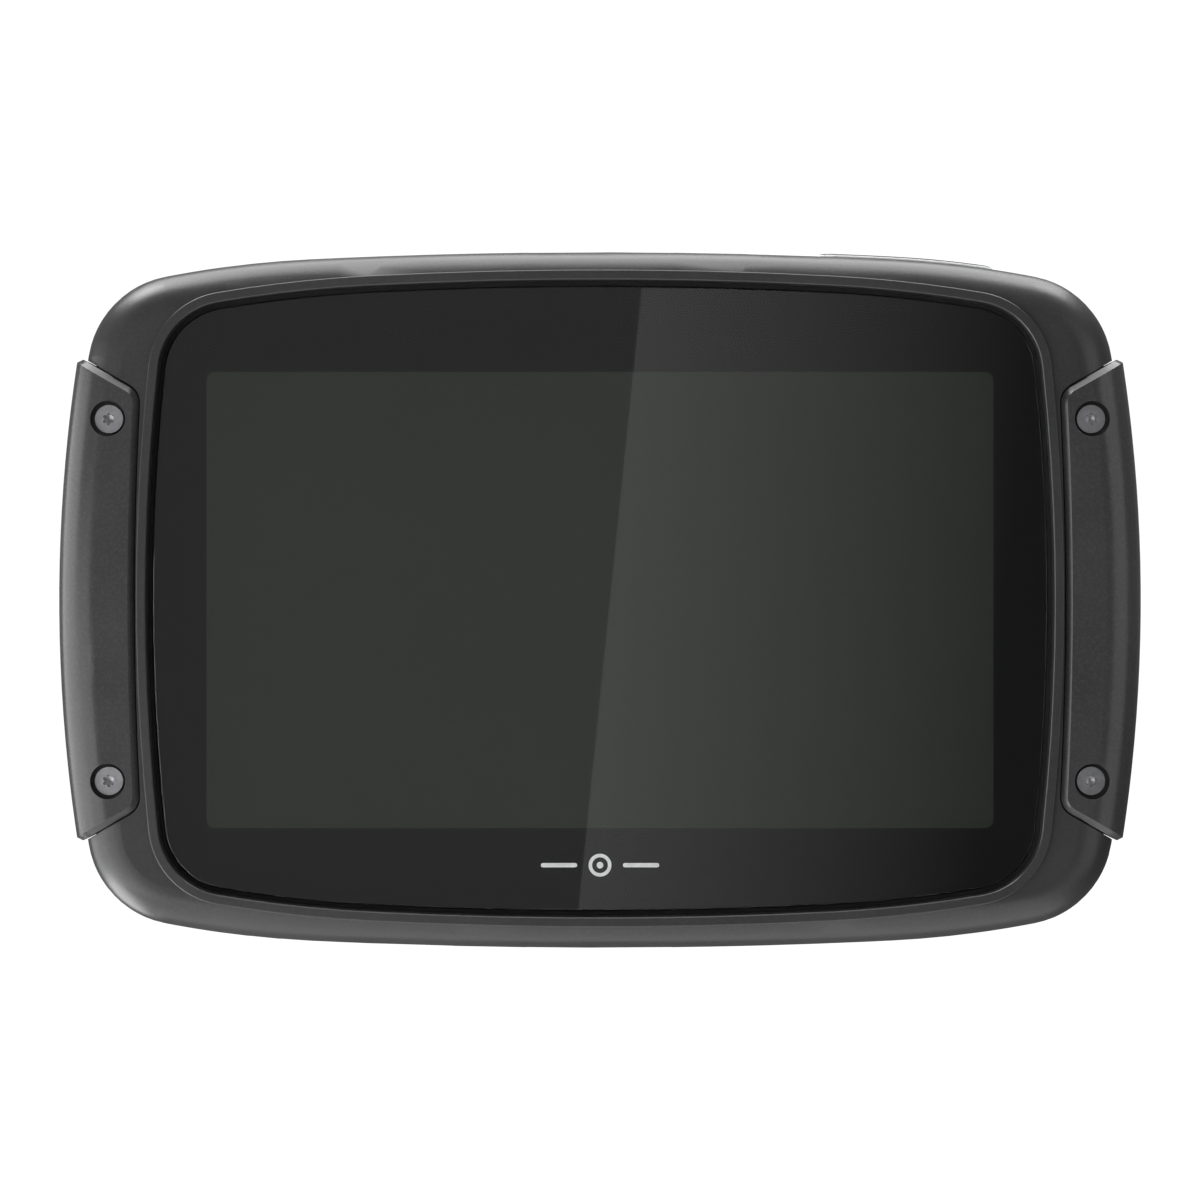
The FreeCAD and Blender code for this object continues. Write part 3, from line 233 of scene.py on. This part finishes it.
def metal(name, tint, rough_low, rough_high, brush=(1, 1, 1), specks=0.15, worn=0.4):
    """Metal or plated metal with cloudy finish, optional brushing along one axis, and bright edges."""
    look = Look(name).put(Metallic=1.0)
    cloud = look.noise(260, 4.0, 0.6)
    fine = look.noise(1800, 3.0, 0.6, brush)
    darker = tuple(c * 0.72 for c in tint[:3]) + (1.0,)
    bright = tuple(min(1.0, c * 1.5 + 0.04) for c in tint[:3]) + (1.0,)
    shade = look.mottled(cloud, tint, darker, 0.8)
    shade = look.blend(look.ramp(fine, 0.0, specks, 0.4, 0.7), shade, bright)
    wear = look.edges(0.18 * MM, 0.03, 0.3)
    shade = look.blend(look.maths("MULTIPLY", wear, worn), shade, bright)
    look.colour(shade)
    look.rough(look.cloudy(fine, rough_low, rough_high))
    look.bump(fine, 0.006 * MM, 0.4)
    return look.material


def rubbery(name, level, rough_low=0.6, rough_high=0.78, grain=1500):
    """Silicone or foam: matt, softly mottled, with a skin of tiny pores."""
    look = Look(name).put(Specular_IOR_Level=0.35)
    cloud = look.noise(180, 4.0, 0.6)
    look.colour(look.mottled(cloud, srgb(level), srgb(level * 1.35 + 6)))
    look.rough(look.cloudy(cloud, rough_low, rough_high))
    look.bump(look.cells(grain), 0.02 * MM, 0.4)
    return look.material


def film(name, tint, other, rough=0.35, scale=300, strength=0.3):
    """A printed or laminated sheet: two close tones with a light crinkle."""
    look = Look(name).put(Specular_IOR_Level=0.5)
    cloud = look.noise(scale, 4.0, 0.6)
    look.colour(look.mottled(cloud, tint, other))
    look.rough(look.cloudy(cloud, rough, rough + 0.15))
    look.bump(cloud, 0.03 * MM, strength)
    return look.material


def circuit(name):
    """A green circuit board: solder mask over a faint pattern of tracks, with tiny pads."""
    look = Look(name).put(Specular_IOR_Level=0.5, Coat_Weight=0.3, Coat_Roughness=0.25)
    tracks = look.node("ShaderNodeTexBrick")
    look.join(look.place, tracks.inputs["Vector"])
    tracks.inputs["Scale"].default_value = 330
    tracks.inputs["Mortar Size"].default_value = 0.03
    tracks.inputs["Color1"].default_value = srgb(18, 70, 40)
    tracks.inputs["Color2"].default_value = srgb(14, 60, 34)
    tracks.inputs["Mortar"].default_value = srgb(32, 98, 58)
    pads = look.ramp(look.cells(700), 1.0, 0.0, 0.08, 0.12)
    look.colour(look.blend(look.maths("MULTIPLY", pads, 0.5), tracks.outputs["Color"], srgb(190, 186, 170)))
    look.rough(look.ramp(look.noise(500), 0.3, 0.5))
    look.bump(look.noise(900), 0.02 * MM, 0.3)
    return look.material


def clear_glass():
    """The hardened cover glass: clear and clean, and open to the lamps so that they reach the display."""
    look = Look("cover_glass_clear").put(Base_Color=(0.93, 0.95, 0.94, 1.0), Roughness=0.0)
    look.put(Transmission_Weight=1.0, IOR=1.5)
    rays = look.node("ShaderNodeLightPath")
    open_to_lamps = look.node("ShaderNodeBsdfTransparent")
    choice = look.node("ShaderNodeMixShader")
    look.join(rays.outputs["Is Shadow Ray"], choice.inputs["Fac"])
    look.join(look.shader.outputs["BSDF"], choice.inputs[1])
    look.join(open_to_lamps.outputs["BSDF"], choice.inputs[2])
    look.join(choice.outputs["Shader"], look.out.inputs["Surface"])
    return look.material


def ink():
    """The black print behind the glass, with a barely seen screen-print texture."""
    look = Look("border_ink").put(Specular_IOR_Level=0.02)
    speck = look.noise(1500, 2.0)
    look.colour(look.blend(look.ramp(speck, 0.0, 1.0, 0.4, 0.7), srgb(6, 6, 7), srgb(7, 7, 8)))
    look.rough(look.ramp(speck, 0.8, 0.9))
    return look.material


def panel_face():
    """The unlit display behind the glass: olive grey, with a fine grid of dots and a soft cloud in it."""
    look = Look("panel_face").put(Specular_IOR_Level=0.05)
    grid = look.node("ShaderNodeTexBrick", offset=0.0)
    look.join(look.mapped("Rotation", (math.pi / 2, 0, 0)), grid.inputs["Vector"])
    grid.inputs["Scale"].default_value = 5050
    grid.inputs["Mortar Size"].default_value = 0.06
    grid.inputs["Brick Width"].default_value = 1.0
    grid.inputs["Row Height"].default_value = 1.0
    grid.inputs["Color1"].default_value = srgb(38, 43, 38)
    grid.inputs["Color2"].default_value = srgb(36, 41, 35)
    grid.inputs["Mortar"].default_value = srgb(29, 33, 29)
    cloud = look.noise(18, 3.0, 0.5)
    look.colour(look.mottled(cloud, grid.outputs["Color"], srgb(33, 38, 33), 0.35))
    look.rough(look.ramp(cloud, 0.55, 0.65))
    return look.material


def white_print():
    """The white ink of the small mark."""
    look = Look("white_print").put(Specular_IOR_Level=0.3)
    speck = look.noise(2200, 2.0)
    look.colour(look.blend(look.ramp(speck, 0.0, 1.0, 0.4, 0.7), srgb(226), srgb(238)))
    look.rough(look.ramp(speck, 0.4, 0.5))
    return look.material


HOUSING = moulded("housing_plastic", 37, (0, 0, 1), 0.31, 0.38)
GRIP = moulded("grip_plastic", 45, (0, 0, 1), 0.22, 0.28)
BUTTON = capped_painted_highlight("button_painted_highlight")
DOOR = moulded("door_plastic", 34, (0, 0, 1), 0.38, 0.46)
CONNECTOR = moulded("connector_plastic", 30, (0, 0, 0), 0.42, 0.55, 1800, 0.02)
BLACK_SCREW = metal("black_screw", srgb(158, 158, 161), 0.3, 0.42, specks=0.2, worn=0.5)
STEEL = metal("plain_steel", srgb(176, 177, 180), 0.25, 0.4)
TINNED = metal("tinned_steel", srgb(188, 189, 190), 0.28, 0.42, (1, 1, 18))
MAGNESIUM = metal("cast_magnesium", srgb(150, 151, 152), 0.45, 0.6, specks=0.3)
BRASS = metal("turned_brass", srgb(196, 160, 92), 0.25, 0.38)
GOLD = metal("gold_plate", srgb(226, 186, 102), 0.18, 0.3)
SILICONE = rubbery("black_silicone", 30)
FOAM = rubbery("black_foam", 14, 0.8, 0.92, 900)
FOIL = film("pouch_foil", srgb(172, 174, 178), srgb(190, 192, 196), 0.28, 90, 0.6)
AMBER = film("amber_film", srgb(176, 112, 38), srgb(190, 128, 52), 0.25)
MILK = film("milky_sheet", srgb(222, 224, 224), srgb(232, 233, 233), 0.4)
CERAMIC = film("fired_ceramic", srgb(198, 186, 150), srgb(206, 196, 164), 0.45, 500)
LABEL = film("label_film", srgb(118, 119, 121), srgb(126, 127, 129), 0.35, 600, 0.15)
BOARD = circuit("circuit_board")
GLASS = clear_glass()
INK = ink()
PANEL = panel_face()
WHITE = white_print()

FINISHES = {
    "front_housing": HOUSING,
    "rear_housing": HOUSING,
    "left_grip": GRIP,
    "right_grip": GRIP,
    "grip_screws": BLACK_SCREW,
    "housing_screws": BLACK_SCREW,
    "chassis_screws": STEEL,
    "board_screws": STEEL,
    "port_board_screws": STEEL,
    "grip_inserts": BRASS,
    "housing_inserts": BRASS,
    "cover_glass": GLASS,
    "glass_tape": FOAM,
    "display_gasket": FOAM,
    "display_panel": PANEL,
    "backlight_tray": TINNED,
    "backlight_guide": MILK,
    "chassis": MAGNESIUM,
    "main_board": BOARD,
    "port_board": BOARD,
    "dock_board": BOARD,
    "processor_shield": TINNED,
    "radio_shield": TINNED,
    "gps_antenna": CERAMIC,
    "display_connector": CONNECTOR,
    "touch_connector": CONNECTOR,
    "battery_connector": CONNECTOR,
    "display_flex": AMBER,
    "battery": FOIL,
    "battery_pad": FOAM,
    "battery_bracket": STEEL,
    "power_button": BUTTON,
    "button_membrane": SILICONE,
    "button_retainer": STEEL,
    "power_switch": CONNECTOR,
    "switch_plunger": CONNECTOR,
    "port_door": DOOR,
    "door_seal": SILICONE,
    "hinge_pin": STEEL,
    "usb_connector": TINNED,
    "card_socket": TINNED,
    "dock_contacts": GOLD,
    "contact_insert": CONNECTOR,
    "housing_seal": SILICONE,
    "rating_label": LABEL,
}

for name, node in NODES.items():
    node.data.materials.clear()
    node.data.materials.append(FINISHES[name])

# ---------------------------------------------------------------- prints and film under the glass


def piece(name, bm, material):
    """Turns a bmesh into a flat-shaded object that rides on the body."""
    mesh = bpy.data.meshes.new(name)
    bmesh.ops.recalc_face_normals(bm, faces=bm.faces)
    bm.to_mesh(mesh)
    bm.free()
    mesh.materials.append(material)
    item = bpy.data.objects.new(name, mesh)
    bpy.context.scene.collection.objects.link(item)
    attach(item, "body")


def rounded_rectangle(width, height, radius, steps):
    """Points anticlockwise round a rectangle with round corners, starting at the right side's foot."""
    points = []
    for index, (sx, sz) in enumerate(((1, -1), (1, 1), (-1, 1), (-1, -1))):
        for step in range(steps + 1):
            turn = math.pi / 2 * (index - 1 + step / steps)
            x = sx * (width / 2 - radius) + radius * math.cos(turn)
            points.append((x, sz * (height / 2 - radius) + radius * math.sin(turn)))
    return points


def slab(bm, loop, back, front):
    """Adds a closed slab of a flat loop, between two depths."""
    rings = [[bm.verts.new((x, y, z)) for x, z in loop] for y in (back, front)]
    bm.faces.new(rings[0])
    bm.faces.new(rings[1])
    for i in range(len(loop)):
        j = (i + 1) % len(loop)
        bm.faces.new((rings[0][i], rings[0][j], rings[1][j], rings[1][i]))


def ring_slab(bm, outer, inner, back, front):
    """Adds a closed frame between two loops of equal length."""
    rings = [[bm.verts.new((x, y, z)) for x, z in loop] for y in (back, front) for loop in (outer, inner)]
    count = len(outer)
    for i in range(count):
        j = (i + 1) % count
        for a, b in ((0, 1), (1, 3), (3, 2), (2, 0)):
            bm.faces.new((rings[a][i], rings[a][j], rings[b][j], rings[b][i]))


VIEW_WIDTH, VIEW_HEIGHT, VIEW_CORNER = 99.7 * MM, 57.8 * MM, 1.05 * MM
VIEW_STEPS = 8
GLASS_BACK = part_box("cover_glass")[1].y
PRINT_BACK, PRINT_FRONT = GLASS_BACK - 0.002 * MM, GLASS_BACK - 0.05 * MM
PRINT_MARGIN = 0.12 * MM


def outline_reach():
    """How far the cover glass reaches from its middle at any angle, read off the back edge of its mesh."""
    rim = [v.co for v in NODES["cover_glass"].data.vertices if v.co.y > GLASS_BACK - 0.02 * MM]
    spots = sorted({(round(math.atan2(p.z, p.x), 5), p.x, p.z) for p in rim})

    def reach(turn):
        after = next((i for i, spot in enumerate(spots) if spot[0] > turn), 0)
        (_, ax, az), (_, bx, bz) = spots[after - 1], spots[after]
        c, s = math.cos(turn), math.sin(turn)
        across = c * (bz - az) - s * (bx - ax)
        if abs(across) < 1e-9:
            return math.hypot(bx, bz)
        return (ax * (bz - az) - az * (bx - ax)) / across

    return reach


def border_print():
    """The black print on the glass's back, round the clear window."""
    half_width, half_height = VIEW_WIDTH / 2, VIEW_HEIGHT / 2
    corners = rounded_rectangle(VIEW_WIDTH, VIEW_HEIGHT, VIEW_CORNER, VIEW_STEPS)
    spots = [(math.atan2(z, x), x, z) for x, z in corners]
    for step in range(-180, 180, 2):
        turn = math.radians(step)
        c, s = math.cos(turn), math.sin(turn)
        out = min(half_width / max(abs(c), 1e-9), half_height / max(abs(s), 1e-9))
        x, z = out * c, out * s
        if abs(x) < half_width - VIEW_CORNER or abs(z) < half_height - VIEW_CORNER:
            spots.append((turn, x, z))
    spots.sort()
    reach = outline_reach()
    inner = [(x, z) for _, x, z in spots]
    edge = [(t, reach(t) - PRINT_MARGIN) for t, _, _ in spots]
    bm = bmesh.new()
    ring_slab(bm, [(r * math.cos(t), r * math.sin(t)) for t, r in edge], inner, PRINT_BACK, PRINT_FRONT)
    piece("border_print", bm, INK)


def display_film():
    """The display's front polariser, bonded to the glass inside the clear window."""
    bm = bmesh.new()
    slab(bm, rounded_rectangle(VIEW_WIDTH, VIEW_HEIGHT, VIEW_CORNER, VIEW_STEPS), PRINT_BACK, PRINT_FRONT)
    piece("display_film", bm, PANEL)


MARK_Z = -33.6 * MM
MARK_BACK, MARK_FRONT = PRINT_FRONT - 0.002 * MM, PRINT_FRONT - 0.02 * MM
RING_OUTER, RING_INNER, DOT = 1.45 * MM, 1.0 * MM, 0.42 * MM
BAR_LENGTH, BAR_HEIGHT, BAR_ROUND, BAR_X = 4.6 * MM, 0.55 * MM, 0.27 * MM, 5.2 * MM


def locator_mark():
    """A small plain mark under the screen: a ring with a dot in it, between two short bars."""

    def circle(radius, count=48):
        turns = [math.tau * i / count for i in range(count)]
        return [(radius * math.cos(t), MARK_Z + radius * math.sin(t)) for t in turns]

    bm = bmesh.new()
    ring_slab(bm, circle(RING_OUTER), circle(RING_INNER), MARK_BACK, MARK_FRONT)
    slab(bm, circle(DOT), MARK_BACK, MARK_FRONT)
    bar = rounded_rectangle(BAR_LENGTH, BAR_HEIGHT, BAR_ROUND, 6)
    for middle_x in (-BAR_X, BAR_X):
        slab(bm, [(middle_x + x, MARK_Z + z) for x, z in bar], MARK_BACK, MARK_FRONT)
    piece("locator_mark", bm, WHITE)


border_print()
display_film()
locator_mark()

# ---------------------------------------------------------------- studio

FRONT = CAD_BOX[0][1]
MIDDLE = (0, (CAD_BOX[0][1] + CAD_BOX[1][1]) / 2, 0)
GLASS_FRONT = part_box("cover_glass")[0].y
CAMERA_GAP, LENS, SENSOR = 0.450, 107.0, 36
FLOOR_DROP, FLOOR_HALF = 0.5, 9
FLOOR_SEEN, FLOOR_CAST = 1.0, 0.02
SKY_SEEN, SKY_AHEAD, SKY_BEHIND = 1.05, 0.38, 0.19
CARD_GAP, CARD_HALF_WIDTH, CARD_HALF_HEIGHT = 0.900, 0.5, 0.4
MIRRORED = (CAMERA_GAP + CARD_GAP) / CAMERA_GAP
CARD_LEAN, CARD_EDGE, CARD_REACH, CARD_BLUR = 0.102, 1.27 * MM, 50 * MM, 0.4 * MM
CARD_DIM, CARD_BRIGHT, CARD_FAR = 0.5, 1.08, 0.16

# name, place, what it faces, width, height, radiance, the rays it serves
SOFTBOXES = (
    ("top_box", (-0.03, 0.14, 0.6), MIDDLE, 1.05, 0.6, 4.5, "all"),
    ("left_box", (-0.75, 0.0, -0.2), MIDDLE, 0.85, 0.8, 2.8, "all"),
    ("low_left_box", (-0.5, -0.6, -0.45), MIDDLE, 0.8, 0.8, 3.2, "diffuse"),
    ("low_left_sheen", (-0.5, -0.55, -0.3), MIDDLE, 0.6, 0.7, 2.4, "glossy"),
    ("under_box", (-0.12, -0.22, -0.42), (-0.12, -0.22, 0), 0.9, 0.65, 1.3, "all"),
    ("corner_box", (-0.4, 0.1, -0.52), MIDDLE, 0.55, 0.45, 5.5, "all"),
    ("upper_left_box", (-0.36, 0.02, 0.6), MIDDLE, 0.3, 0.22, 8.0, "all"),
    ("upper_right_box", (0.33, 0.02, 0.6), MIDDLE, 0.25, 0.22, 6.0, "all"),
    ("right_box", (0.66, -0.48, -0.05), MIDDLE, 0.6, 0.8, 0.85, "all"),
)


def flat_sheet(name, corners, material):
    """A single flat face that belongs to the studio."""
    mesh = bpy.data.meshes.new(name)
    mesh.from_pydata(corners, [], [tuple(range(len(corners)))])
    mesh.materials.append(material)
    item = bpy.data.objects.new(name, mesh)
    bpy.context.scene.collection.objects.link(item)
    return item


def paper_floor():
    """A wide sheet of white paper well below the object, lit evenly to its edges for the camera."""
    look = Look("paper_floor").put(Roughness=0.85, Specular_IOR_Level=0.1, Emission_Color=(1, 1, 1, 1))
    fibre = look.noise(240, 3.0)
    look.colour(look.blend(look.ramp(fibre, 0.0, 1.0, 0.4, 0.7), srgb(122), srgb(126)))
    rays = look.node("ShaderNodeLightPath")
    glow = look.ramp(rays.outputs["Is Camera Ray"], FLOOR_CAST, FLOOR_SEEN)
    look.join(glow, look.shader.inputs["Emission Strength"])
    low = CAD_BOX[0][2] - FLOOR_DROP
    corners = [(x * FLOOR_HALF, y * FLOOR_HALF, low) for x, y in ((-1, -1), (1, -1), (1, 1), (-1, 1))]
    flat_sheet("floor", corners, look.material)


def reflected_card():
    """A card behind the camera that the glass mirrors: dim, with a brighter slanted half that fades."""
    look = Look("card_glow")
    lean = look.maths("MULTIPLY", look.part(look.place, "Z"), CARD_LEAN)
    across = look.maths("SUBTRACT", look.part(look.place, "X"), lean)
    across = look.maths("SUBTRACT", across, CARD_EDGE * MIRRORED)
    lit = look.ramp(across, 0.0, 1.0, -CARD_BLUR, CARD_BLUR)
    fade = look.ramp(across, CARD_BRIGHT, CARD_FAR, 0.0, CARD_REACH * MIRRORED)
    glow = look.node("ShaderNodeEmission")
    extra = look.maths("MULTIPLY", lit, look.maths("SUBTRACT", fade, CARD_DIM))
    look.join(look.maths("ADD", extra, CARD_DIM), glow.inputs["Strength"])
    look.join(glow.outputs["Emission"], look.out.inputs["Surface"])
    x, y, z = CARD_HALF_WIDTH, GLASS_FRONT - CARD_GAP, CARD_HALF_HEIGHT
    card = flat_sheet("card", [(-x, y, -z), (x, y, -z), (x, y, z), (-x, y, z)], look.material)
    card.visible_camera = card.visible_diffuse = card.visible_shadow = False


def soft_light(name, place, aim, width, height, glow, rays):
    """A rectangular softbox of an even radiance that faces a point."""
    light = bpy.data.lights.new(name, "AREA")
    light.shape = "RECTANGLE"
    light.size, light.size_y, light.energy = width, height, glow * math.pi * width * height
    item = bpy.data.objects.new(name, light)
    item.location = place
    item.rotation_euler = (Vector(aim) - Vector(place)).to_track_quat("-Z", "Y").to_euler()
    item.visible_camera = False
    item.visible_diffuse = rays != "glossy"
    item.visible_glossy = rays != "diffuse"
    bpy.context.scene.collection.objects.link(item)


def studio_sky():
    """A plain white backdrop that lights the object more dimly than it looks, and least from behind."""
    world = bpy.data.worlds.new("studio")
    bpy.context.scene.world = world
    world.use_nodes = True
    tree = world.node_tree
    sky = tree.nodes["Background"]
    sky.inputs["Color"].default_value = (1, 1, 1, 1)
    rays = tree.nodes.new("ShaderNodeLightPath")
    parts = tree.nodes.new("ShaderNodeSeparateXYZ")
    tree.links.new(tree.nodes.new("ShaderNodeTexCoord").outputs["Generated"], parts.inputs["Vector"])
    cast = tree.nodes.new("ShaderNodeMapRange")
    for key, value in (("From Min", -0.6), ("From Max", 0.6), ("To Min", SKY_AHEAD), ("To Max", SKY_BEHIND)):
        cast.inputs[key].default_value = value
    tree.links.new(parts.outputs["Y"], cast.inputs["Value"])
    level = tree.nodes.new("ShaderNodeMapRange")
    tree.links.new(cast.outputs["Result"], level.inputs["To Min"])
    level.inputs["To Max"].default_value = SKY_SEEN
    tree.links.new(rays.outputs["Is Camera Ray"], level.inputs["Value"])
    tree.links.new(level.outputs["Result"], sky.inputs["Strength"])


paper_floor()
reflected_card()
studio_sky()
for softbox in SOFTBOXES:
    soft_light(*softbox)
bpy.context.scene.view_settings.view_transform = "Standard"

camera = bpy.data.objects.new("camera", bpy.data.cameras.new("camera"))
bpy.context.scene.collection.objects.link(camera)
camera.location = (0, FRONT - CAMERA_GAP, 0)
camera.rotation_euler = (math.pi / 2, 0, 0)
camera.data.sensor_width = SENSOR
camera.data.lens = LENS
camera.data.clip_start = 0.01
bpy.context.scene.camera = camera
